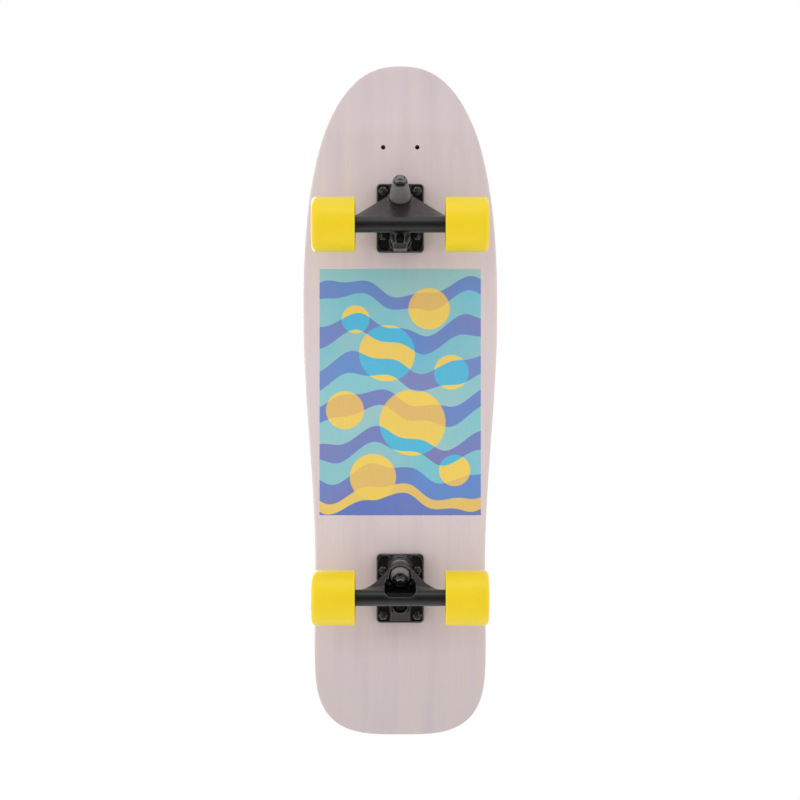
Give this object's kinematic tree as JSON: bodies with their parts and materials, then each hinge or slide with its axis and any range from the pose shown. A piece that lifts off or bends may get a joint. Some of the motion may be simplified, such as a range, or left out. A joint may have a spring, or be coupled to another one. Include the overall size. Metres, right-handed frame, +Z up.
{
  "type": "cruiser skateboard",
  "caption": "Wooden cruiser skateboard with kicked ends, a reverse kingpin truck at the nose, a traditional kingpin truck at the tail and wide soft wheels.",
  "frame": {"origin": "on the ground under the middle of the board's length, on its centre line", "axes": "+X along the board to the nose, +Y to the rider's left when facing the nose, +Z up"},
  "size_m": [0.8182, 0.2356, 0.1487],
  "materials": {
    "deck_wood": "pale stained maple ply under clear lacquer",
    "grip": "abrasive grit on adhesive sheet",
    "riser_rubber": "moulded rubber pad",
    "black_casting": "black powder coat on cast aluminium",
    "cup_plastic": "moulded black plastic",
    "zinc_steel": "zinc plated",
    "black_steel": "black oxide",
    "bearing_steel": "ground steel",
    "grey_urethane": "cast urethane",
    "yellow_urethane": "poured urethane, satin"
  },
  "bodies": {
    "board": {"deck": "deck_wood", "grip_tape": "grip", "front_riser": "riser_rubber", "front_baseplate": "black_casting", "front_pivot_cup": "cup_plastic", "front_kingpin": "black_steel", "front_kingpin_nut": "black_steel", "front_boardside_bushing": "grey_urethane", "front_roadside_bushing": "grey_urethane", "front_boardside_washer": "zinc_steel", "front_roadside_washer": "black_steel", "front_deck_bolt_1": "black_steel", "front_deck_bolt_2": "black_steel", "front_deck_bolt_3": "black_steel", "front_deck_bolt_4": "black_steel", "front_deck_nut_1": "black_steel", "front_deck_nut_2": "black_steel", "front_deck_nut_3": "black_steel", "front_deck_nut_4": "black_steel", "rear_riser": "riser_rubber", "rear_baseplate": "black_casting", "rear_pivot_cup": "cup_plastic", "rear_kingpin": "black_steel", "rear_kingpin_nut": "black_steel", "rear_boardside_bushing": "grey_urethane", "rear_roadside_bushing": "grey_urethane", "rear_boardside_washer": "zinc_steel", "rear_roadside_washer": "black_steel", "rear_deck_bolt_1": "black_steel", "rear_deck_bolt_2": "black_steel", "rear_deck_bolt_3": "black_steel", "rear_deck_bolt_4": "black_steel", "rear_deck_nut_1": "black_steel", "rear_deck_nut_2": "black_steel", "rear_deck_nut_3": "black_steel", "rear_deck_nut_4": "black_steel"},
    "front_hanger_group": {"front_hanger": "black_casting", "front_axle": "zinc_steel", "front_left_spacer": "zinc_steel", "front_right_spacer": "zinc_steel", "front_left_axle_nut": "zinc_steel", "front_right_axle_nut": "zinc_steel"},
    "rear_hanger_group": {"rear_hanger": "black_casting", "rear_axle": "zinc_steel", "rear_left_spacer": "zinc_steel", "rear_right_spacer": "zinc_steel", "rear_left_axle_nut": "zinc_steel", "rear_right_axle_nut": "zinc_steel"},
    "front_left_wheel_group": {"front_left_wheel": "yellow_urethane", "front_left_inner_bearing": "bearing_steel", "front_left_outer_bearing": "bearing_steel"},
    "front_right_wheel_group": {"front_right_wheel": "yellow_urethane", "front_right_inner_bearing": "bearing_steel", "front_right_outer_bearing": "bearing_steel"},
    "rear_left_wheel_group": {"rear_left_wheel": "yellow_urethane", "rear_left_inner_bearing": "bearing_steel", "rear_left_outer_bearing": "bearing_steel"},
    "rear_right_wheel_group": {"rear_right_wheel": "yellow_urethane", "rear_right_inner_bearing": "bearing_steel", "rear_right_outer_bearing": "bearing_steel"}
  },
  "joints": [
    {"name": "front_steer", "type": "hinge", "parent": "board", "child": "front_hanger_group", "pos_m": [0.23973, 0, 0.0723], "axis": [0.809, 0, 0.5878], "range_deg": [-15, 15], "stiffness_Nm_per_rad": 40, "deforming": ["front_boardside_bushing", "front_roadside_bushing"]},
    {"name": "rear_steer", "type": "hinge", "parent": "board", "child": "rear_hanger_group", "pos_m": [-0.20655, 0, 0.0685], "axis": [-0.9205, 0, 0.3907], "range_deg": [-12, 12], "stiffness_Nm_per_rad": 40, "deforming": ["rear_boardside_bushing", "rear_roadside_bushing"]},
    {"name": "front_left_roll", "type": "hinge", "parent": "front_hanger_group", "child": "front_left_wheel_group", "pos_m": [0.20913, 0.0787, 0.0325], "axis": [0, 1, 0], "continuous": true},
    {"name": "front_right_roll", "type": "hinge", "parent": "front_hanger_group", "child": "front_right_wheel_group", "pos_m": [0.20913, -0.0787, 0.0325], "axis": [0, 1, 0], "continuous": true},
    {"name": "rear_left_roll", "type": "hinge", "parent": "rear_hanger_group", "child": "rear_left_wheel_group", "pos_m": [-0.23145, 0.0787, 0.0325], "axis": [0, 1, 0], "continuous": true},
    {"name": "rear_right_roll", "type": "hinge", "parent": "rear_hanger_group", "child": "rear_right_wheel_group", "pos_m": [-0.23145, -0.0787, 0.0325], "axis": [0, 1, 0], "continuous": true}
  ]
}
